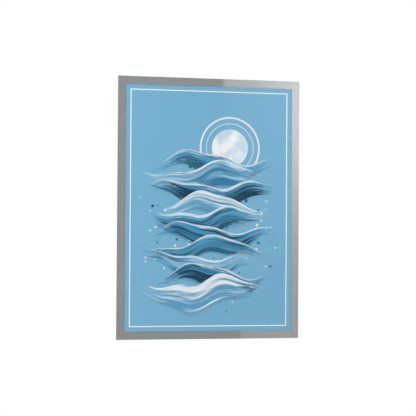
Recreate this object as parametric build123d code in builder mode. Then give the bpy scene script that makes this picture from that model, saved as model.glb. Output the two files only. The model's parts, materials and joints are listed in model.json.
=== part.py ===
"""Magnetic poster frame for one A1 sheet, stuck flat on a wall or a pane.

Two laminates lie face to face. The back one carries an adhesive ring, a clear film, a silver cover ring
and four magnet strips. The front leaf has the same layers in the opposite order: four magnet strips, a
silver cover ring and a clear window film. The leaf is creased beside its left edge, where a spacer bar
joins it to the back, and it folds open like a page. The sheet stands on the bottom magnet strip.

X runs to the right, Y runs into the wall and Z runs up. The origin is the centre of the wall plane.
A depth is a distance from the wall towards the viewer.
"""

import os
from math import sqrt

from build123d import *

# The sheet
sheet_width = 594.0
sheet_height = 841.0
sheet_thickness = 0.2
sheet_clearance = 2.0  # at the sides and the top

# The outline seen from the front
border_width = 27.0
border_lap = 4.0  # the border covers this much of the sheet's edge
corner_radius = 2.0
window_corner_radius = 1.0

# The layers, from the wall to the viewer
adhesive_thickness = 0.2
back_film_thickness = 0.4
back_cover_thickness = 0.15
back_magnet_thickness = 0.75
leaf_magnet_thickness = 0.75
front_cover_thickness = 0.15
window_film_thickness = 0.4

# Insets and joints in the plane of the frame
magnet_inset = 2.0  # from the outline to the magnet strips
magnet_joint = 0.4  # between the ends of two strips
adhesive_inset = 3.0  # from both edges of the border to the adhesive
adhesive_corner_radius = 4.0
pull_corner = 14.0  # legs of the back's clipped corner, where a finger lifts the leaf

# The crease that the leaf turns on
crease_inset = 6.0  # from the left edge to the crease
crease_gap = 0.1  # between the leaf's film and the fixed margin
crease_bevel = 0.15
crease_clearance = 1.0  # from the crease to the nearest magnet strip
spacer_inset = 0.5  # from the left edge to the spacer bar

# The outline and the window
window_width = sheet_width - 2 * border_lap
window_height = sheet_height - 2 * border_lap
frame_width = window_width + 2 * border_width
frame_height = window_height + 2 * border_width
left, right = -frame_width / 2, frame_width / 2
bottom, top = -frame_height / 2, frame_height / 2

# Where each layer starts
back_film_depth = adhesive_thickness
back_cover_depth = back_film_depth + back_film_thickness
back_magnet_depth = back_cover_depth + back_cover_thickness
leaf_magnet_depth = back_magnet_depth + back_magnet_thickness
front_cover_depth = leaf_magnet_depth + leaf_magnet_thickness
window_film_depth = front_cover_depth + front_cover_thickness
front_depth = window_film_depth + window_film_thickness

# The crease, and the pocket that the magnet strips leave for the sheet
crease_x = left + crease_inset
pocket_left = -sheet_width / 2 - sheet_clearance
pocket_right = sheet_width / 2 + sheet_clearance
pocket_top = sheet_height / 2 + sheet_clearance
pocket_bottom = -sheet_height / 2
magnets_left = crease_x + crease_clearance
magnets_right = right - magnet_inset

# Left, right, bottom and top edge of each strip
magnet_strips = {
    "top": (magnets_left, magnets_right, pocket_top, top - magnet_inset),
    "bottom": (magnets_left, magnets_right, bottom + magnet_inset, pocket_bottom),
    "left": (magnets_left, pocket_left, pocket_bottom + magnet_joint, pocket_top - magnet_joint),
    "right": (pocket_right, magnets_right, pocket_bottom + magnet_joint, pocket_top - magnet_joint),
}

os.makedirs("parts", exist_ok=True)


def write(part, name):
    part.label = name
    export_step(part, f"parts/{name}.step")


def depth_plane(depth):
    """The plane at this depth, drawn on from the front."""
    return Plane.XZ.offset(depth)


def draw_box(x_low, x_high, z_low, z_high, mode=Mode.ADD):
    """Draws an upright rectangle between these edges."""
    with Locations(((x_low + x_high) / 2, (z_low + z_high) / 2)):
        Rectangle(x_high - x_low, z_high - z_low, mode=mode)


def draw_outline():
    RectangleRounded(frame_width, frame_height, corner_radius)


def cut_window():
    RectangleRounded(window_width, window_height, window_corner_radius, mode=Mode.SUBTRACT)


def clip_pull_corner(setback):
    """Cuts the lower right corner of a back layer, this far inside the back film's own cut."""
    leg = pull_corner + setback * sqrt(2)
    points = (right, bottom), (right - leg, bottom), (right, bottom + leg)
    Polygon(*points, align=None, mode=Mode.SUBTRACT)


def keep_margin():
    """Keeps what lies left of the crease."""
    draw_box(left, crease_x - crease_gap / 2, bottom, top, Mode.INTERSECT)


def keep_leaf():
    """Keeps what lies right of the crease."""
    draw_box(crease_x + crease_gap / 2, right, bottom, top, Mode.INTERSECT)


# The adhesive ring, which takes hold of the wall
with BuildPart() as adhesive_ring:
    with BuildSketch(depth_plane(0)):
        RectangleRounded(
            frame_width - 2 * adhesive_inset,
            frame_height - 2 * adhesive_inset,
            adhesive_corner_radius,
        )
        RectangleRounded(
            window_width + 2 * adhesive_inset,
            window_height + 2 * adhesive_inset,
            adhesive_corner_radius,
            mode=Mode.SUBTRACT,
        )
        clip_pull_corner(adhesive_inset)
    extrude(amount=adhesive_thickness)
write(adhesive_ring.part, "adhesive_ring")

# The clear film that carries the back
with BuildPart() as back_film:
    with BuildSketch(depth_plane(back_film_depth)):
        draw_outline()
        clip_pull_corner(0)
    extrude(amount=back_film_thickness)
write(back_film.part, "back_film")

# The silver ring that hides the magnets from behind
with BuildPart() as back_cover:
    with BuildSketch(depth_plane(back_cover_depth)):
        draw_outline()
        cut_window()
        clip_pull_corner(0)
    extrude(amount=back_cover_thickness)
write(back_cover.part, "back_cover")

# The back's magnet strips, of which the bottom one is cut away at the pull corner
for side, edges in magnet_strips.items():
    with BuildPart() as back_magnet:
        with BuildSketch(depth_plane(back_magnet_depth)):
            draw_box(*edges)
            clip_pull_corner(magnet_inset)
        extrude(amount=back_magnet_thickness)
    write(back_magnet.part, f"back_magnet_{side}")

# The sheet, which stands on the bottom strip and lies against the back cover's lap
with BuildPart() as poster_sheet:
    with BuildSketch(depth_plane(back_magnet_depth)):
        Rectangle(sheet_width, sheet_height)
    extrude(amount=sheet_thickness)
write(poster_sheet.part, "poster_sheet")

# The bar that fills the height of both magnet layers beside the crease
with BuildPart() as hinge_spacer:
    with BuildSketch(depth_plane(back_magnet_depth)):
        draw_box(
            left + spacer_inset,
            crease_x - crease_gap / 2,
            bottom + magnet_inset,
            top - magnet_inset,
        )
    extrude(amount=front_cover_depth - back_magnet_depth)
write(hinge_spacer.part, "hinge_spacer")

# The fixed margin of the front laminate, left of the crease
with BuildPart() as hinge_margin_cover:
    with BuildSketch(depth_plane(front_cover_depth)):
        draw_outline()
        keep_margin()
    extrude(amount=front_cover_thickness)
write(hinge_margin_cover.part, "hinge_margin_cover")

with BuildPart() as hinge_margin_film:
    with BuildSketch(depth_plane(window_film_depth)):
        draw_outline()
        keep_margin()
    extrude(amount=window_film_thickness)
    front_face = hinge_margin_film.faces().sort_by(Axis.Y)[0]
    chamfer(front_face.edges().sort_by(Axis.X)[-1], length=crease_bevel)
write(hinge_margin_film.part, "hinge_margin_film")

# The leaf's magnet strips, which lie on the back's strips
for side, edges in magnet_strips.items():
    with BuildPart() as leaf_magnet:
        with BuildSketch(depth_plane(leaf_magnet_depth)):
            draw_box(*edges)
        extrude(amount=leaf_magnet_thickness)
    write(leaf_magnet.part, f"leaf_magnet_{side}")

# The silver ring behind the window film
with BuildPart() as front_cover:
    with BuildSketch(depth_plane(front_cover_depth)):
        draw_outline()
        cut_window()
        keep_leaf()
    extrude(amount=front_cover_thickness)
write(front_cover.part, "front_cover")

# The clear film that covers the whole leaf
with BuildPart() as window_film:
    with BuildSketch(depth_plane(window_film_depth)):
        draw_outline()
        keep_leaf()
    extrude(amount=window_film_thickness)
    front_face = window_film.faces().sort_by(Axis.Y)[0]
    chamfer(front_face.edges().sort_by(Axis.X)[0], length=crease_bevel)
write(window_film.part, "window_film")

print(f"The leaf turns on an upright axis at X {crease_x:g} and Y {-front_depth:g} mm.")
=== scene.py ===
"""Dresses the magnetic poster frame: its clear films, silver covers, magnet strips and printed sheet."""

import json
from math import pi, sqrt, tau

import bpy
from bpy.props import FloatProperty, FloatVectorProperty, IntProperty, PointerProperty
from mathutils import Matrix, Vector


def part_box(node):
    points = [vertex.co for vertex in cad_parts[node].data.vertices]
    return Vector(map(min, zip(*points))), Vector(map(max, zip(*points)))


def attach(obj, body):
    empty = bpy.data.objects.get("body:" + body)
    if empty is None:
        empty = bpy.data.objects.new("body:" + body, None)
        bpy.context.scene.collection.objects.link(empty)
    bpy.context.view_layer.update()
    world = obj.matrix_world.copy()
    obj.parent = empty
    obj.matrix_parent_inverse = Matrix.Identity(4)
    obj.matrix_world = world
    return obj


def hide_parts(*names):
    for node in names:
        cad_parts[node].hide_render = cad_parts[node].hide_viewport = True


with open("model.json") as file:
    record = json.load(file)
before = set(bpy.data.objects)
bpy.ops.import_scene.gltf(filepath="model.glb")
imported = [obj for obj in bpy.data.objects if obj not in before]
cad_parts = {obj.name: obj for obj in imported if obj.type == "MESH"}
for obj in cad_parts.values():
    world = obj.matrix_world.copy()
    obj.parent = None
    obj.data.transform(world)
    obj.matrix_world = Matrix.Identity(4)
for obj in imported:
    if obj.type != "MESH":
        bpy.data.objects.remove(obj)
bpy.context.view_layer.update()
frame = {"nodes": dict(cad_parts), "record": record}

bl_info = {
    "name": "Magnetic poster frame",
    "version": (1, 0, 0),
    "blender": (4, 5, 0),
    "location": "3D View > Sidebar > Poster Frame",
    "description": "Films, covers, magnets and printed sheet of a magnetic poster frame",
    "category": "Object",
}

MM = 0.001
DEGREE = pi / 180
GOLDEN = (sqrt(5) - 1) / 2


def paint(red, green, blue):
    """The linear colour of a paint that is mixed by its display values from 0 to 255."""
    shares = [value / 255 for value in (red, green, blue)]
    return tuple(s / 12.92 if s <= 0.04045 else ((s + 0.055) / 1.055) ** 2.4 for s in shares) + (1.0,)


def length(name, description, default):
    return FloatProperty(name=name, description=description, default=default, unit="LENGTH", precision=5)


def place(name, description, default):
    return FloatVectorProperty(name=name, description=description, default=default, subtype="TRANSLATION")


def angle(name, description, default):
    return FloatProperty(name=name, description=description, default=default, subtype="ANGLE")


def share(name, description, default):
    return FloatProperty(name=name, description=description, default=default, min=0, max=1)


def number(name, description, default):
    return FloatProperty(name=name, description=description, default=default)


def colour(name, description, default):
    return FloatVectorProperty(name=name, description=description, default=default, size=4, subtype="COLOR")


class FilmSettings(bpy.types.PropertyGroup):
    corner: length("Corner radius", "Radius of the outer corners", 2 * MM)
    pull_corner: length("Pull corner", "Legs of the back film's clipped corner", 14 * MM)
    bond: length("Bond", "Air between a film and the layer that it covers", 0.02 * MM)
    edge: length("Edge", "Rounding of the film's cut edges", 0.08 * MM)
    gloss: share("Gloss", "Share of light that one face of the film mirrors, seen straight on", 0.005)
    roughness: share("Roughness", "Roughness of the film's gloss", 0.01)
    tint: colour("Tint", "Tint of the light that passes one face", (0.99, 0.995, 0.995, 1.0))


class SilverSettings(bpy.types.PropertyGroup):
    tone: colour("Silver", "Colour of the metallised covers", paint(137, 138, 139))
    metal: share("Metal", "Share of the surface that is metal flake", 0.7)
    flakes: number("Flakes", "Flakes to the metre", 2600)
    contrast: share("Contrast", "How far the flakes differ in tone", 0.03)
    smoothest: share("Smoothest", "Roughness of the smoothest flakes", 0.012)
    roughest: share("Roughest", "Roughness of the roughest flakes", 0.02)


class AdhesiveSettings(bpy.types.PropertyGroup):
    dark: colour("Dark", "Colour of the thin places in the tissue", paint(203, 200, 188))
    light: colour("Light", "Colour of the thick places in the tissue", paint(232, 231, 224))
    fibres: number("Fibres", "Fibres to the metre", 260)
    clouds: number("Clouds", "Cloudy places to the metre", 30)
    smoothest: share("Smoothest", "Roughness of the smoothest places", 0.28)
    roughest: share("Roughest", "Roughness of the roughest places", 0.53)
    relief: length("Relief", "Height of the fibres", 0.04 * MM)


class SpacerSettings(bpy.types.PropertyGroup):
    dark: colour("Dark", "Colour of the drawn lines", paint(128, 128, 130))
    light: colour("Light", "Colour between the drawn lines", paint(146, 146, 148))
    lines: number("Lines", "Drawn lines to the metre across the bar", 1500)
    breaks: number("Breaks", "Breaks to the metre along a drawn line", 20)
    smoothest: share("Smoothest", "Roughness of the smoothest lines", 0.4)
    roughest: share("Roughest", "Roughness of the roughest lines", 0.55)


class MagnetSettings(bpy.types.PropertyGroup):
    tone: colour("Magnet foil", "Colour of the magnet strips", paint(47, 42, 39))
    contrast: share("Contrast", "How far the foil's lines differ in tone", 0.29)
    edge: length("Edge", "Rounding of the strips' edges", 0.12 * MM)
    inset: length("Inset", "From the outline to the strips", 2 * MM)
    line_pitch: length("Line pitch", "Pitch of the fine lines along each strip", 1.6 * MM)
    breaks: number("Breaks", "Breaks to the metre along a fine line", 12)
    speckles: number("Speckles", "Speckles to the metre", 900)
    smoothest: share("Smoothest", "Roughness of the smoothest speckles", 0.48)
    roughest: share("Roughest", "Roughness of the roughest speckles", 0.68)
    relief: length("Relief", "Height of the fine lines", 0.05 * MM)


class PrintSettings(bpy.types.PropertyGroup):
    ground: colour("Ground", "Colour of the print's ground", paint(119, 175, 206))
    white: colour("White", "Colour of the white ink", paint(228, 231, 232))
    shadow: colour("Shadow", "Colour of the shade below a swell", paint(30, 84, 112))
    crest: colour("Crest", "Colour of the crest of a swell", paint(226, 232, 236))
    drops: colour("Drops", "Colour of the dark drops", paint(40, 92, 120))
    sheen: share("Sheen", "Share of light that the glossy print mirrors in its own colour", 0.061)
    roughness: share("Roughness", "Roughness of the print's gloss", 0.03)
    bleed: length("Bleed", "Half the width of the soft edge of a printed shape", 0.35 * MM)
    line_inset_side: length("Line inset at the sides", "From the sheet's edge to the line", 21.8 * MM)
    line_inset_end: length("Line inset at top and bottom", "From the sheet's edge to the line", 21 * MM)
    line_width: length("Line width", "Width of the line round the print", 3.2 * MM)
    line: colour("Line", "Colour of the line round the print", paint(250, 244, 238))
    swells: IntProperty(name="Swells", description="Number of brushed swells", default=10, min=2)
    swells_top: length("Top swell", "Height of the highest swell above the centre", 150 * MM)
    swells_bottom: length("Bottom swell", "Height of the lowest swell above the centre", -285 * MM)
    swell_reach: length("Reach", "From the centre to the end of the longest swell", 238 * MM)
    swell_width: length("Swell width", "Half the width of a swell", 38 * MM)
    taper: length("Taper", "From the end of a swell to its full width", 160 * MM)
    wave: length("Wave", "Length of a swell's long waves", 360 * MM)
    wave_rise: length("Wave rise", "Height of the long waves above their middle", 21 * MM)
    ripple: length("Ripple", "Length of a swell's short waves", 150 * MM)
    ripple_rise: length("Ripple rise", "Height of the short waves above their middle", 6 * MM)
    disc_across: length("Disc across", "From the centre to the middle of the disc", 71.4 * MM)
    disc_up: length("Disc up", "Height of the middle of the disc above the centre", 207.6 * MM)
    disc_radius: length("Disc", "Radius of the pale disc", 64 * MM)
    disc_dark: colour("Disc's clouds", "Colour of the clouds over the disc", paint(196, 214, 228))
    disc_light: colour("Disc's light", "Colour of the disc between its clouds", paint(240, 242, 244))
    disc_clouds: number("Clouds", "Clouds to the metre over the disc", 22)
    thin_ring: length("Thin ring", "Width of the ring next to the disc", 2.2 * MM)
    thin_ring_radius: length("Thin ring's radius", "Radius of the ring next to the disc", 83.2 * MM)
    wide_ring: length("Wide ring", "Width of the outer ring", 6 * MM)
    wide_ring_radius: length("Wide ring's radius", "Radius of the outer ring", 103.68 * MM)
    dark_pitch: length("Dark drops", "From one dark drop to the next", 22 * MM)
    white_pitch: length("White drops", "From one white drop to the next", 17 * MM)
    bare_dark: colour("Bare dark", "Colour of the thin places in the paper", paint(226, 227, 226))
    bare_light: colour("Bare light", "Colour of the thick places in the paper", paint(238, 239, 238))
    pulp: number("Pulp", "Fibres to the metre in the bare paper", 420)
    bare_clouds: number("Paper's clouds", "Cloudy places to the metre in the bare paper", 9)
    bare_smoothest: share("Smoothest paper", "Roughness of the smoothest bare paper", 0.7)
    bare_roughest: share("Roughest paper", "Roughness of the roughest bare paper", 0.8)
    bare_relief: length("Paper's relief", "Height of the fibres in the bare paper", 0.05 * MM)


class StageSettings(bpy.types.PropertyGroup):
    azimuth: angle("Azimuth", "Angle of the camera round the frame", -14.92 * DEGREE)
    elevation: angle("Elevation", "Height angle of the camera", -1.09 * DEGREE)
    roll: angle("Roll", "Turn of the camera about its own line of sight", 0.4 * DEGREE)
    distance: length("Distance", "From the camera to the frame", 5.111)
    pan: length("Pan", "Step of the camera to its left", 4.3 * MM)
    rise: length("Rise", "Step of the camera upwards", 2 * MM)
    lens: number("Lens", "Focal length in millimetres", 129.8)
    sensor: number("Sensor", "Width of the camera's sensor in millimetres", 36)
    sight: length("Sight", "How far the camera sees", 100)
    ambient: number("Ambient", "Strength of the light from all round", 0.5)
    sky: number("Sky", "Growth of the mirrored white from the horizon upwards", 0.12)
    sky_low: number("Sky low", "Slope at which the mirrored white starts to grow", -0.06)
    sky_high: number("Sky high", "Slope at which the mirrored white is at its full", 0.14)
    floor_tone: share("Floor tone", "Lightness of the floor", 0.85)
    floor_drop: length("Floor drop", "From the frame's centre down to the floor", 1.4)
    floor_reach: length("Floor reach", "From the middle of the floor to its edge", 3.0)
    floor_fade: length("Floor fade", "From the middle of the floor to where it starts to turn white", 0.6)
    floor_white: length("Floor white", "From the middle of the floor to where it is white", 2.7)
    floor_glow: share("Floor glow", "Share of white in the middle of the floor", 0.45)
    key_place: place("Key lamp", "Centre of the key lamp, which looks at the frame", (-2.2, -1.7, 0.8))
    key_size: length("Key size", "Side of the key lamp", 2.6)
    key_light: number("Key light", "Radiance of the key lamp", 3.07)
    fill_place: place("Back lamp", "Centre of the lamp behind the frame", (1.5, 4.0, 1.5))
    fill_size: length("Back lamp size", "Side of the lamp behind the frame", 3.0)
    fill_light: number("Back light", "Radiance of the lamp behind the frame", 2.3)
    card_place: place("Card", "Centre of the lit card that the film mirrors", (2.1645, -3.2, 0.4))
    card_width: length("Card width", "Width of the lit card", 2.4)
    card_height: length("Card height", "Height of the lit card", 3.0)
    card_roll: angle("Card roll", "Lean of the lit card to one side", 4.7 * DEGREE)
    card_light: number("Card light", "Radiance of the card far from its bright spot", 0.377)
    spot_across: share("Spot across", "Place of the bright spot over the card's width", 0.355)
    spot_up: share("Spot up", "Place of the bright spot over the card's height", 0.598)
    spot_radius: length("Spot radius", "Where the bright spot has fallen to about a third", 0.598)
    spot_light: number("Spot light", "Radiance that the bright spot adds", 2.476)


class Value:
    """A number in a node tree, on which sums are written as in Python."""

    def __init__(self, tree, socket):
        self.tree = tree
        self.socket = socket

    def math(self, operation, *others):
        terms = dict(enumerate((self, *others)))
        return self.tree.value("ShaderNodeMath", {"operation": operation}, terms)

    def __add__(self, other):
        return self.math("ADD", other)

    def __sub__(self, other):
        return self.math("SUBTRACT", other)

    def __rsub__(self, other):
        return self.math("MULTIPLY", -1.0).math("ADD", other)

    def __mul__(self, other):
        return self.math("MULTIPLY", other)

    def __truediv__(self, other):
        return self.math("DIVIDE", other)

    def __pow__(self, other):
        return self.math("POWER", other)

    def __abs__(self):
        return self.math("ABSOLUTE")

    __radd__ = __add__
    __rmul__ = __mul__


def between(low, high, way):
    """The number that lies this share of the way from low to high. Each can be a Value."""
    return way * (high - low) + low


class Tree:
    """Adds nodes to a node tree."""

    def __init__(self, nodes):
        self.nodes = nodes
        nodes.nodes.clear()

    def add(self, kind, settings=(), sockets=()):
        """Adds a node, sets it up, and gives its sockets their values or links."""
        node = self.nodes.nodes.new(kind)
        for name, setting in dict(settings).items():
            setattr(node, name, setting)
        for name, given in dict(sockets).items():
            socket = node.inputs[name]
            given = given.socket if isinstance(given, Value) else given
            if isinstance(given, bpy.types.NodeSocket):
                self.nodes.links.new(given, socket)
            else:
                socket.default_value = given
        return node

    def value(self, kind, settings=(), sockets=(), output=0):
        return Value(self, self.add(kind, settings, sockets).outputs[output])

    def parts(self, vector):
        """The three numbers of a vector."""
        apart = self.add("ShaderNodeSeparateXYZ", {}, {0: vector})
        return [Value(self, output) for output in apart.outputs]

    def place(self):
        """The across and upright place on the piece, in metres."""
        across, _, up = self.parts(self.add("ShaderNodeTexCoord").outputs["Object"])
        return across, up

    def noise(self, across, up, seed, detail):
        """Soft noise between 0 and 1 whose lumps are one unit wide."""
        vector = self.add("ShaderNodeCombineXYZ", {}, {"X": across, "Y": up, "Z": seed}).outputs[0]
        return self.value("ShaderNodeTexNoise", {}, {"Vector": vector, "Scale": 1.0, "Detail": detail})

    def ramp(self, value, low, high, start=0.0, end=1.0, kind="SMOOTHSTEP"):
        """Goes from the start to the end as the value goes from low to high, and stays there."""
        sockets = {"Value": value, "From Min": low, "From Max": high, "To Min": start, "To Max": end}
        return self.value("ShaderNodeMapRange", {"interpolation_type": kind}, sockets)

    def stretch(self, noise, reach):
        """Spreads the noise that lies within this reach of 0.5 over the range from 0 to 1."""
        return self.ramp(noise, 0.5 - reach, 0.5 + reach)

    def blend(self, factor, first, second):
        """Mixes two colours, which go into the node's sockets 6 and 7."""
        sockets = {0: factor, 6: first, 7: second}
        return self.add("ShaderNodeMix", {"data_type": "RGBA"}, sockets).outputs[2]

    def bump(self, height, relief, strength):
        """Lets light fall on the surface as if it rose by up to the relief where the height is 1."""
        sockets = {"Height": height, "Distance": relief, "Strength": strength}
        return self.add("ShaderNodeBump", {}, sockets).outputs[0]

    def surface(self, shader):
        self.add("ShaderNodeOutputMaterial", {}, {"Surface": shader})

    def plastic(self, sockets):
        self.surface(self.add("ShaderNodeBsdfPrincipled", {}, sockets).outputs[0])


def new_material(name, kind=Tree, *settings):
    """A new material, and the tree that fills it."""
    material = bpy.data.materials.new(name)
    material.use_nodes = True
    return material, kind(material.node_tree, *settings)


def around(tone, contrast):
    """A darker and a lighter colour, this share away from the tone."""
    return [[factor * value for value in tone[:3]] + [1.0] for factor in (1 - contrast, 1 + contrast)]


GLANCE = 5  # power at which a clear film's gloss grows as the eye comes down to its plane


def clear_film(settings):
    """Clear polyester, which lets light through and mirrors a little, more so at a flat angle."""
    material, tree = new_material("Clear film")
    # At a blend of 0.5 this is 0 where the film faces the eye, and 1 where it is seen edge on
    flatness = tree.value("ShaderNodeLayerWeight", {}, {"Blend": 0.5}, "Facing")
    mirrored = between(settings.gloss, 1.0, flatness ** GLANCE)
    through = tree.add("ShaderNodeBsdfTransparent", {}, {"Color": settings.tint})
    gloss = tree.add("ShaderNodeBsdfAnisotropic", {}, {"Roughness": settings.roughness})
    mixed = tree.add("ShaderNodeMixShader", {}, {0: mirrored, 1: through.outputs[0], 2: gloss.outputs[0]})
    tree.surface(mixed.outputs[0])
    return material


def silver_film(settings):
    """Metallised film with a very fine flake."""
    material, tree = new_material("Silver film")
    across, up = tree.place()
    flake = tree.noise(across * settings.flakes, up * settings.flakes, seed=0.0, detail=1.0)
    tree.plastic({
        "Base Color": tree.blend(flake, *around(settings.tone, settings.contrast)),
        "Metallic": settings.metal,
        "Roughness": between(settings.smoothest, settings.roughest, flake),
    })
    return material


def magnet_foil(name, settings, along):
    """Dark magnet foil with fine lines along the strip, which lies level or upright."""
    material, tree = new_material(name)
    across, up = tree.place()
    sideways, lengthways = (up, across) if along == "level" else (across, up)
    lines = tree.noise(sideways / settings.line_pitch, lengthways * settings.breaks, seed=3.0, detail=2.0)
    speckle = tree.noise(across * settings.speckles, up * settings.speckles, seed=8.0, detail=2.0)
    shading = tree.stretch(between(lines, speckle, way=0.4), reach=0.2)
    tree.plastic({
        "Base Color": tree.blend(shading, *around(settings.tone, settings.contrast)),
        "Roughness": between(settings.smoothest, settings.roughest, speckle),
        "Normal": tree.bump(lines, settings.relief, strength=0.25),
    })
    return material


def adhesive_tissue(settings):
    """Milky double-sided tape with a fibrous carrier."""
    material, tree = new_material("Adhesive")
    across, up = tree.place()
    fibres = tree.noise(across * settings.fibres, up * settings.fibres, seed=1.0, detail=4.0)
    clouds = tree.noise(across * settings.clouds, up * settings.clouds, seed=5.0, detail=2.0)
    tree.plastic({
        "Base Color": tree.blend(between(fibres, clouds, way=0.4), settings.dark, settings.light),
        "Roughness": between(settings.smoothest, settings.roughest, clouds),
        "Normal": tree.bump(fibres, settings.relief, strength=0.3),
    })
    return material


def spacer_plastic(settings):
    """Plain grey plastic with a light drawn grain."""
    material, tree = new_material("Spacer")
    across, up = tree.place()
    grain = tree.noise(across * settings.lines, up * settings.breaks, seed=2.0, detail=2.0)
    tree.plastic({
        "Base Color": tree.blend(grain, settings.dark, settings.light),
        "Roughness": between(settings.smoothest, settings.roughest, grain),
    })
    return material


def white_paper(settings):
    """The sheet's bare back."""
    material, tree = new_material("White paper")
    across, up = tree.place()
    pulp = tree.noise(across * settings.pulp, up * settings.pulp, seed=4.0, detail=4.0)
    clouds = tree.noise(across * settings.bare_clouds, up * settings.bare_clouds, seed=6.0, detail=2.0)
    tree.plastic({
        "Base Color": tree.blend(between(pulp, clouds, way=0.5), settings.bare_dark, settings.bare_light),
        "Roughness": between(settings.bare_smoothest, settings.bare_roughest, pulp),
        "Normal": tree.bump(pulp, settings.bare_relief, strength=0.12),
    })
    return material


# The dark and the light paint of each swell, which come round again when they are used up
SWELL_TONES = (
    (paint(46, 98, 124), paint(84, 160, 198)),
    (paint(56, 124, 162), paint(146, 194, 220)),
    (paint(26, 62, 84), paint(66, 142, 182)),
    (paint(90, 156, 192), paint(230, 235, 238)),
    (paint(38, 88, 114), paint(88, 162, 200)),
    (paint(28, 70, 94), paint(72, 148, 190)),
)

# The swells' reaches and widths, as shares of the given ones
SHORTEST = 0.66
NARROWEST, WIDEST = 0.75, 1.25
TIP_WIDTH = 0.45  # width of a swell at its ends, as a share of its own in the middle

# The brush's marks: lumps to the metre along a swell, and rows to half of the swell's width
BRISTLES = (6, 3.4)
HAIRS = (15, 12)
APART = 10  # rows from one swell's marks to the next swell's

# Heights on a swell, in halves of its width: 0 along its middle and 1 along its upper edge
FRAY = 0.7  # how far the bristles fray a swell's edges
EDGE = 0.05  # height over which an edge is soft
CREST = (1.12, 1.24)  # where the crest's paint starts and is full, with the hairs added
CREST_HAIRS = 0.8  # what the palest hairs add there
SHADE_DROP = 0.3  # from a swell down to its shade
SHADE = (-0.15, 0.45)  # how far inside its edge the shade starts and is full

# What a swell's paleness, from 0 for its dark paint to 1 for its light one, gains with each of these
HEIGHT_GAIN, BRISTLE_GAIN, HAIR_GAIN = 0.42, 3.2, 1.3
DARKENING = 1.9  # what it loses again all over

# How far a swell's crest and its shade cover what lies below them, as shares
CREST_COVER, SHADE_COVER = 0.8, 0.45

# The ends of a swell, where the brush runs dry
DRY = 0.62  # hairs under this don't reach the end
TIP = 6 * MM  # length over which a hair ends
SHADE_TIP = 50 * MM  # length over which the shade ends

# The drops round the swells, in shares of their pitch
EMPTY = 0.45  # share of the places that hold no drop
LARGEST = 0.3  # radius of the largest drop
DROP_EDGE = 0.05  # width of a drop's soft edge

# How far the drops reach from the middle of the swells, as shares of the swells' own reach
SPRAY_TALL = 1.1  # how much further upwards than sideways
SPRAY_FRAY = 0.3  # how far the reach differs from drop to drop
SPRAY_END = (1.25, 1.0)  # from where no drop is left to where none is missing


def scatter(index, start, low=0.0, high=1.0):
    """A number between low and high, evenly scattered from one index to the next."""
    return between(low, high, (index * GOLDEN + start) % 1.0)


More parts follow.
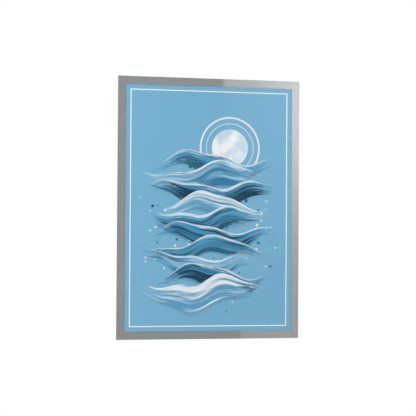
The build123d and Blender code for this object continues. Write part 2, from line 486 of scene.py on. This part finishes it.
class Print(Tree):
    """The colour of the print, which is laid down ink by ink."""

    def __init__(self, nodes, settings):
        super().__init__(nodes)
        self.settings = settings
        self.across, self.up = self.place()
        self.ink = settings.ground

    def lay(self, mask, tone):
        """Lays a colour over the print where the mask is 1."""
        self.ink = self.blend(mask, self.ink, tone)

    def away_from(self, across, up, stretch=1.0):
        """The distance from a place, where upright distances count less the more they are stretched."""
        return ((self.across - across) ** 2 + ((self.up - up) / stretch) ** 2) ** 0.5

    def band(self, distance, width):
        """1 where the distance is under half of the width."""
        bleed = self.settings.bleed
        return self.ramp(abs(distance), width / 2 + bleed, width / 2 - bleed)

    def disc(self):
        """Lays a pale clouded disc and the two rings round it."""
        settings = self.settings
        away = self.away_from(settings.disc_across, settings.disc_up)
        clouds = self.noise(
            self.across * settings.disc_clouds,
            self.up * settings.disc_clouds,
            seed=2.0,
            detail=4.0,
        )
        pale = self.blend(self.stretch(clouds, reach=0.15), settings.disc_dark, settings.disc_light)
        self.lay(self.band(away, 2 * settings.disc_radius), pale)
        self.lay(self.band(away - settings.thin_ring_radius, settings.thin_ring), settings.white)
        self.lay(self.band(away - settings.wide_ring_radius, settings.wide_ring), settings.white)

    def spray(self, pitch, tone, seed):
        """Sprinkles drops of paint of one tone round the swells."""
        settings = self.settings
        cell = {"X": self.across / pitch, "Y": self.up / pitch, "Z": seed}
        vector = self.add("ShaderNodeCombineXYZ", {}, cell).outputs[0]
        drops = self.add("ShaderNodeTexVoronoi", {}, {"Vector": vector, "Scale": 1.0}).outputs
        chance, shift, _ = self.parts(drops["Color"])
        size = self.ramp(chance, EMPTY, 1.0, end=LARGEST, kind="LINEAR")
        drop = self.ramp(size - Value(self, drops["Distance"]), 0.0, DROP_EDGE)
        away = self.away_from(0.0, (settings.swells_top + settings.swells_bottom) / 2, SPRAY_TALL)
        near = self.ramp(away / settings.swell_reach + shift * SPRAY_FRAY, *SPRAY_END)
        self.lay(drop * near, tone)

    def marks(self, height, coarseness, index, seed, detail):
        """The marks that one kind of bristle leaves along a swell, as noise between 0 and 1."""
        lumps, rows = coarseness
        return self.noise(self.across * lumps, height * rows + APART * index, index + seed, detail)

    def swell(self, index):
        """Brushes one wavy swell, with bristle marks along it, dry ends and a shade below."""
        settings = self.settings
        level = between(settings.swells_top, settings.swells_bottom, index / (settings.swells - 1))
        half_width = settings.swell_width * scatter(index, start=0.3, low=NARROWEST, high=WIDEST)
        left = -settings.swell_reach * scatter(index, start=0.15, low=SHORTEST)
        right = settings.swell_reach * scatter(index, start=0.7, low=SHORTEST)
        turn = scatter(index, start=0.45, high=tau)
        wave = (self.across * (tau / settings.wave) + turn).math("SINE")
        ripple = (self.across * (tau / settings.ripple) + 2 * turn).math("SINE")
        centre = wave * settings.wave_rise + ripple * settings.ripple_rise + level
        from_end = (self.across - left).math("MINIMUM", right - self.across)
        width = self.ramp(from_end, 0.0, settings.taper, start=TIP_WIDTH) * half_width
        height = (self.up - centre) / width

        bristles = self.marks(height, BRISTLES, index, seed=0.5, detail=4.0)
        hairs = self.marks(height, HAIRS, index, seed=7.5, detail=2.0)
        frayed = (bristles - 0.5) * FRAY
        painted = from_end + (hairs - DRY) * (2 * settings.taper)
        shade = self.ramp(1 - abs(height + SHADE_DROP) + frayed, *SHADE) * self.ramp(painted, 0.0, SHADE_TIP)
        self.lay(shade * SHADE_COVER, settings.shadow)

        paleness = height * HEIGHT_GAIN + bristles * BRISTLE_GAIN + hairs * HAIR_GAIN - DARKENING
        stroke = self.blend(self.ramp(paleness, 0.0, 1.0), *SWELL_TONES[index % len(SWELL_TONES)])
        crest = self.ramp(height + hairs * CREST_HAIRS, *CREST)
        stroke = self.blend(crest * CREST_COVER, stroke, settings.crest)
        body = self.ramp(1 - abs(height) + frayed, 0.0, EDGE)
        self.lay(body * self.ramp(painted, 0.0, TIP), stroke)

    def line(self, half_width, half_height):
        """Rules a line along a rectangle round the centre."""
        outside = (abs(self.across) - half_width).math("MAXIMUM", abs(self.up) - half_height)
        self.lay(self.band(outside, self.settings.line_width), self.settings.line)


def printed_paper(settings, sheet_width, sheet_height):
    """The front of the sheet: a pale disc over brushed swells, within a thin line."""
    material, tree = new_material("Printed paper", Print, settings)
    tree.disc()
    tree.spray(settings.dark_pitch, settings.drops, seed=3.0)
    tree.spray(settings.white_pitch, settings.white, seed=8.0)
    for index in range(settings.swells):
        tree.swell(index)
    tree.line(sheet_width / 2 - settings.line_inset_side, sheet_height / 2 - settings.line_inset_end)
    tree.plastic({
        "Base Color": tree.ink,
        "Metallic": settings.sheen,
        "Roughness": settings.roughness,
        "Specular IOR Level": 0.0,
    })
    return material


LAYER_INPUTS = {
    "Width": "NodeSocketFloat",
    "Height": "NodeSocketFloat",
    "Thickness": "NodeSocketFloat",
    "Left radius": "NodeSocketFloat",
    "Right radius": "NodeSocketFloat",
    "Clipped corner": "NodeSocketFloat",
    "Centre": "NodeSocketVector",
    "Material": "NodeSocketMaterial",
    "Front material": "NodeSocketMaterial",
}
CORNER_STEPS = 6  # points along a round corner
EDGE_STEPS = 2  # steps across a rounded edge
WELD = 0.001 * MM  # points that are closer than this become one


def layer_group():
    """Geometry nodes for one flat layer: a plate with round corners and one corner that can be clipped."""
    group = bpy.data.node_groups.new("Layer", "GeometryNodeTree")
    for name, kind in LAYER_INPUTS.items():
        group.interface.new_socket(name, in_out="INPUT", socket_type=kind)
    group.interface.new_socket("Geometry", in_out="OUTPUT", socket_type="NodeSocketGeometry")
    tree = Tree(group)
    inputs = tree.add("NodeGroupInput").outputs
    left_radius, right_radius, clipped = (
        Value(tree, inputs[name]) for name in ("Left radius", "Right radius", "Clipped corner")
    )
    x, y, _ = tree.parts(tree.add("GeometryNodeInputPosition").outputs[0])
    on_right = x.math("GREATER_THAN", 0.0)
    is_clipped = on_right * y.math("LESS_THAN", 0.0) * clipped.math("GREATER_THAN", 0.0)
    radius = on_right * right_radius + (1 - on_right) * left_radius

    size = {name: inputs[name] for name in ("Width", "Height")}
    curve = tree.add("GeometryNodeCurvePrimitiveQuadrilateral", {}, size).outputs[0]
    for count, corner in ((1, is_clipped * clipped), (CORNER_STEPS, (1 - is_clipped) * radius)):
        rounding = {"Curve": curve, "Count": count, "Radius": corner, "Limit Radius": True}
        curve = tree.add("GeometryNodeFilletCurve", {"mode": "POLY"}, rounding).outputs[0]
    face = tree.add("GeometryNodeFillCurve", {"mode": "NGONS"}, {"Curve": curve}).outputs[0]
    rise = {"Mesh": face, "Offset Scale": inputs["Thickness"], "Individual": False}
    raised, front_face, _ = tree.add("GeometryNodeExtrudeMesh", {}, rise).outputs
    back = tree.add("GeometryNodeFlipFaces", {}, {"Mesh": face}).outputs[0]
    join = tree.add("GeometryNodeJoinGeometry")
    for part in (raised, back):
        group.links.new(part, join.inputs[0])
    closed = tree.add("GeometryNodeMergeByDistance", {}, {"Geometry": join.outputs[0], "Distance": WELD})
    upright = {"Geometry": closed.outputs[0], "Translation": inputs["Centre"], "Rotation": (pi / 2, 0, 0)}
    placed = tree.add("GeometryNodeTransform", {}, upright).outputs[0]
    solid = tree.add("GeometryNodeRealizeInstances", {}, {"Geometry": placed}).outputs[0]
    for selection, name in ((True, "Material"), (front_face, "Front material")):
        finish = {"Geometry": solid, "Selection": selection, "Material": inputs[name]}
        solid = tree.add("GeometryNodeSetMaterial", {}, finish).outputs[0]
    tree.add("NodeGroupOutput", {}, {0: solid})
    return group


def make_layer(name, low, high, material, edge=0.0, left=0.0, right=0.0, clipped=0.0, front=None):
    """Makes a flat layer between two corners of a box, with these corner radii, as a plain mesh."""
    group = bpy.data.node_groups.get("Layer") or layer_group()
    blank = bpy.data.objects.new(name, bpy.data.meshes.new(name))
    bpy.context.scene.collection.objects.link(blank)
    build = blank.modifiers.new("Layer", "NODES")
    build.node_group = group
    given = {
        "Width": high.x - low.x,
        "Height": high.z - low.z,
        "Thickness": high.y - low.y,
        "Left radius": left,
        "Right radius": right,
        "Clipped corner": clipped,
        "Centre": ((low.x + high.x) / 2, high.y, (low.z + high.z) / 2),
        "Material": material,
        "Front material": front or material,
    }
    for socket in group.interface.items_tree:
        if socket.in_out == "INPUT":
            build[socket.identifier] = given[socket.name]
    if edge:
        bevel = blank.modifiers.new("Edges", "BEVEL")
        bevel.width = edge
        bevel.segments = EDGE_STEPS
        bevel.limit_method = "ANGLE"
    graph = bpy.context.evaluated_depsgraph_get()
    mesh = bpy.data.meshes.new_from_object(blank.evaluated_get(graph), depsgraph=graph)
    bpy.data.objects.remove(blank)
    mesh.materials.pop(index=0)  # the fill leaves an empty first slot
    mesh.name = name
    piece = bpy.data.objects.new(name, mesh)
    bpy.context.scene.collection.objects.link(piece)
    return piece


def box_of(node):
    """The lowest and the highest corner of a node's own box."""
    low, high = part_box(node)
    return Vector(low), Vector(high)


def body_name(node):
    """The body that carries a node."""
    bodies = frame["record"]["behaviour"]["bodies"]
    return next(name for name, nodes in bodies.items() if node in nodes)


def stand_for(piece, node):
    """The piece takes the node's place and body."""
    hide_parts(node)
    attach(piece, body_name(node))


def dress(node, material):
    """Gives a node's own solid a new material."""
    for entry in frame["nodes"][node].material_slots:
        entry.material = material


class POSTERFRAME_OT_films(bpy.types.Operator):
    """Make the clear films of the leaf, the fixed margin and the back"""

    bl_idname = "posterframe.films"
    bl_label = "Clear films"

    def execute(self, context):
        settings = context.scene.posterframe_films
        material = clear_film(settings)
        bond = Vector((0, settings.bond, 0))
        for node, name, left, right, clipped in (
            ("window_film", "Window_film_clear", 0.0, settings.corner, 0.0),
            ("hinge_margin_film", "Margin_film_clear", settings.corner, 0.0, 0.0),
            ("back_film", "Back_film_clear", settings.corner, settings.corner, settings.pull_corner),
        ):
            low, high = box_of(node)
            film = make_layer(name, low + bond, high - bond, material, settings.edge, left, right, clipped)
            stand_for(film, node)
        return {"FINISHED"}


class POSTERFRAME_OT_covers(bpy.types.Operator):
    """Finish the silver covers of the leaf, the fixed margin and the back"""

    bl_idname = "posterframe.covers"
    bl_label = "Silver covers"

    def execute(self, context):
        silver = silver_film(context.scene.posterframe_covers)
        for node in ("front_cover", "hinge_margin_cover", "back_cover"):
            dress(node, silver)
        return {"FINISHED"}


class POSTERFRAME_OT_adhesive(bpy.types.Operator):
    """Finish the adhesive ring on the back"""

    bl_idname = "posterframe.adhesive"
    bl_label = "Adhesive ring"

    def execute(self, context):
        dress("adhesive_ring", adhesive_tissue(context.scene.posterframe_adhesive))
        return {"FINISHED"}


class POSTERFRAME_OT_spacer(bpy.types.Operator):
    """Finish the spacer bar beside the crease"""

    bl_idname = "posterframe.spacer"
    bl_label = "Spacer bar"

    def execute(self, context):
        dress("hinge_spacer", spacer_plastic(context.scene.posterframe_spacer))
        return {"FINISHED"}


class POSTERFRAME_OT_magnets(bpy.types.Operator):
    """Make the magnet strips of the back and the leaf"""

    bl_idname = "posterframe.magnets"
    bl_label = "Magnet strips"

    def execute(self, context):
        settings = context.scene.posterframe_magnets
        pull_corner = context.scene.posterframe_films.pull_corner
        foils = {way: magnet_foil(f"Magnet foil {way}", settings, way) for way in ("level", "upright")}
        ways = {"top": "level", "bottom": "level", "left": "upright", "right": "upright"}
        for laminate in ("back", "leaf"):
            for side, way in ways.items():
                node = f"{laminate}_magnet_{side}"
                low, high = box_of(node)
                clipped = 0.0
                if node == "back_magnet_bottom":
                    # The strip keeps its inset from the film's cut too, and its corner lies inset both ways
                    clipped = pull_corner + settings.inset * (sqrt(2) - 2)
                name = f"{laminate.capitalize()}_strip_{side}"
                strip = make_layer(name, low, high, foils[way], settings.edge, clipped=clipped)
                stand_for(strip, node)
        return {"FINISHED"}


class POSTERFRAME_OT_sheet(bpy.types.Operator):
    """Make the printed sheet"""

    bl_idname = "posterframe.sheet"
    bl_label = "Printed sheet"

    def execute(self, context):
        settings = context.scene.posterframe_sheet
        low, high = box_of("poster_sheet")
        front = printed_paper(settings, high.x - low.x, high.z - low.z)
        sheet = make_layer("Printed_sheet", low, high, white_paper(settings), front=front)
        stand_for(sheet, "poster_sheet")
        return {"FINISHED"}


WHITE = (1.0, 1.0, 1.0, 1.0)


def set_camera(settings):
    """Sets the camera, which circles the frame's centre and then steps a little aside."""
    camera = bpy.data.objects.new("Camera", bpy.data.cameras.new("Camera"))
    bpy.context.scene.collection.objects.link(camera)
    bpy.context.scene.camera = camera
    camera.data.lens = settings.lens
    camera.data.sensor_width = settings.sensor
    camera.data.clip_end = settings.sight
    turn = Matrix.Rotation(settings.azimuth, 4, "Z")
    turn @= Matrix.Rotation(pi / 2 - settings.elevation, 4, "X")
    turn @= Matrix.Rotation(settings.roll, 4, "Z")
    camera.matrix_world = turn @ Matrix.Translation((-settings.pan, settings.rise, settings.distance))


def seen_directly(tree):
    """1 for rays from the camera, a mirror or a clear body, and 0 for those that carry light."""
    rays = tree.add("ShaderNodeLightPath").outputs
    seen = Value(tree, rays["Is Camera Ray"]) + Value(tree, rays["Is Glossy Ray"])
    return (seen + Value(tree, rays["Is Transmission Ray"])).math("MINIMUM", 1.0)


def light_world(settings):
    """White for the eye, a little whiter upwards in a mirror, and a softer light on the frame."""
    world = bpy.data.worlds.new("Studio")
    bpy.context.scene.world = world
    world.use_nodes = True
    tree = Tree(world.node_tree)
    _, _, rise = tree.parts(tree.add("ShaderNodeTexCoord").outputs["Generated"])
    mirrored = Value(tree, tree.add("ShaderNodeLightPath").outputs["Is Glossy Ray"])
    growth = tree.ramp(rise, settings.sky_low, settings.sky_high, end=settings.sky, kind="LINEAR") * mirrored
    seen = seen_directly(tree)
    strength = seen * (growth + 1) + (1 - seen) * settings.ambient
    light = tree.add("ShaderNodeBackground", {}, {"Color": WHITE, "Strength": strength})
    tree.add("ShaderNodeOutputWorld", {}, {"Surface": light.outputs[0]})


def lay_floor(settings):
    """A pale matt floor, shadowed under the frame, white further out and clear when seen from below."""
    material, tree = new_material("Floor")
    x, y, _ = tree.parts(tree.add("ShaderNodeTexCoord").outputs["Object"])
    away = (x ** 2 + y ** 2) ** 0.5
    glow = tree.ramp(away, settings.floor_fade, settings.floor_white, start=settings.floor_glow)
    tone = [settings.floor_tone] * 3 + [1.0]
    matt = tree.add("ShaderNodeBsdfDiffuse", {}, {"Color": tone}).outputs[0]
    white = tree.add("ShaderNodeEmission", {}, {"Color": WHITE, "Strength": 1.0}).outputs[0]
    top = tree.add("ShaderNodeMixShader", {}, {0: seen_directly(tree) * glow, 1: matt, 2: white}).outputs[0]
    below = tree.add("ShaderNodeNewGeometry").outputs["Backfacing"]
    clear = tree.add("ShaderNodeBsdfTransparent").outputs[0]
    tree.surface(tree.add("ShaderNodeMixShader", {}, {0: below, 1: top, 2: clear}).outputs[0])
    mesh = bpy.data.meshes.new("Floor")
    reach = settings.floor_reach
    corners = [(-reach, -reach), (reach, -reach), (reach, reach), (-reach, reach)]
    mesh.from_pydata([(x, y, -settings.floor_drop) for x, y in corners], [], [(0, 1, 2, 3)])
    mesh.materials.append(material)
    floor = bpy.data.objects.new("Floor", mesh)
    bpy.context.scene.collection.objects.link(floor)


def studio_lamp(name, centre, aim, width, height, radiance, roll=0.0, mirrored=False):
    """A flat soft lamp that looks from its centre to its aim, and that is seen in mirrors at most."""
    lamp = bpy.data.lights.new(name, "AREA")
    lamp.shape = "RECTANGLE"
    lamp.size = width
    lamp.size_y = height
    lamp.energy = pi * width * height * radiance
    holder = bpy.data.objects.new(name, lamp)
    bpy.context.scene.collection.objects.link(holder)
    sight = (Vector(aim) - Vector(centre)).to_track_quat("-Z", "Y").to_matrix().to_4x4()
    holder.matrix_world = Matrix.Translation(centre) @ sight @ Matrix.Rotation(roll, 4, "Z")
    holder.visible_camera = False
    holder.visible_glossy = mirrored
    return lamp


def lit_card(settings):
    """The card that the film mirrors: evenly lit, with one bright spot that fades outwards."""
    width, height = settings.card_width, settings.card_height
    x, _, z = settings.card_place
    card = studio_lamp("Card", settings.card_place, (x, 0, z), width, height, 1.0, settings.card_roll, True)
    card.use_nodes = True
    tree = Tree(card.node_tree)
    u, v, _ = tree.parts(tree.add("ShaderNodeNewGeometry").outputs["Parametric"])
    across = (u - settings.spot_across) * (width / settings.spot_radius)
    up = (v - settings.spot_up) * (height / settings.spot_radius)
    spot = ((across ** 2 + up ** 2) * -1).math("EXPONENT")
    light = {"Strength": spot * settings.spot_light + settings.card_light}
    tree.add("ShaderNodeOutputLight", {}, {"Surface": tree.add("ShaderNodeEmission", {}, light).outputs[0]})


class POSTERFRAME_OT_stage(bpy.types.Operator):
    """Set up the camera, the lamps, the white surroundings and the floor"""

    bl_idname = "posterframe.stage"
    bl_label = "Stage"

    def execute(self, context):
        settings = context.scene.posterframe_stage
        set_camera(settings)
        light_world(settings)
        lay_floor(settings)
        key, fill = settings.key_size, settings.fill_size
        studio_lamp("Key", settings.key_place, (0, 0, 0), key, key, settings.key_light)
        studio_lamp("Back fill", settings.fill_place, (0, 0, 0), fill, fill, settings.fill_light)
        lit_card(settings)
        context.scene.view_settings.view_transform = "Standard"
        return {"FINISHED"}


STEPS = {
    POSTERFRAME_OT_films: FilmSettings,
    POSTERFRAME_OT_covers: SilverSettings,
    POSTERFRAME_OT_adhesive: AdhesiveSettings,
    POSTERFRAME_OT_spacer: SpacerSettings,
    POSTERFRAME_OT_magnets: MagnetSettings,
    POSTERFRAME_OT_sheet: PrintSettings,
    POSTERFRAME_OT_stage: StageSettings,
}


def settings_name(operator):
    """The scene's property that holds an operator's settings."""
    return operator.bl_idname.replace(".", "_")


class POSTERFRAME_PT_panel(bpy.types.Panel):
    """Lists the steps that dress the frame, each with its settings"""

    bl_idname = "POSTERFRAME_PT_panel"
    bl_label = "Poster Frame"
    bl_space_type = "VIEW_3D"
    bl_region_type = "UI"
    bl_category = "Poster Frame"

    def draw(self, context):
        for operator, group in STEPS.items():
            box = self.layout.box()
            box.operator(operator.bl_idname)
            for name in group.__annotations__:
                box.prop(getattr(context.scene, settings_name(operator)), name)


def register():
    for group in (*STEPS.values(), *STEPS, POSTERFRAME_PT_panel):
        bpy.utils.register_class(group)
    for operator, group in STEPS.items():
        setattr(bpy.types.Scene, settings_name(operator), PointerProperty(type=group))


def unregister():
    for operator in STEPS:
        delattr(bpy.types.Scene, settings_name(operator))
    for group in (POSTERFRAME_PT_panel, *STEPS, *STEPS.values()):
        bpy.utils.unregister_class(group)


def main():
    register()
    for operator in STEPS:
        family, name = operator.bl_idname.split(".")
        getattr(getattr(bpy.ops, family), name)()


if __name__ == "__main__":
    main()
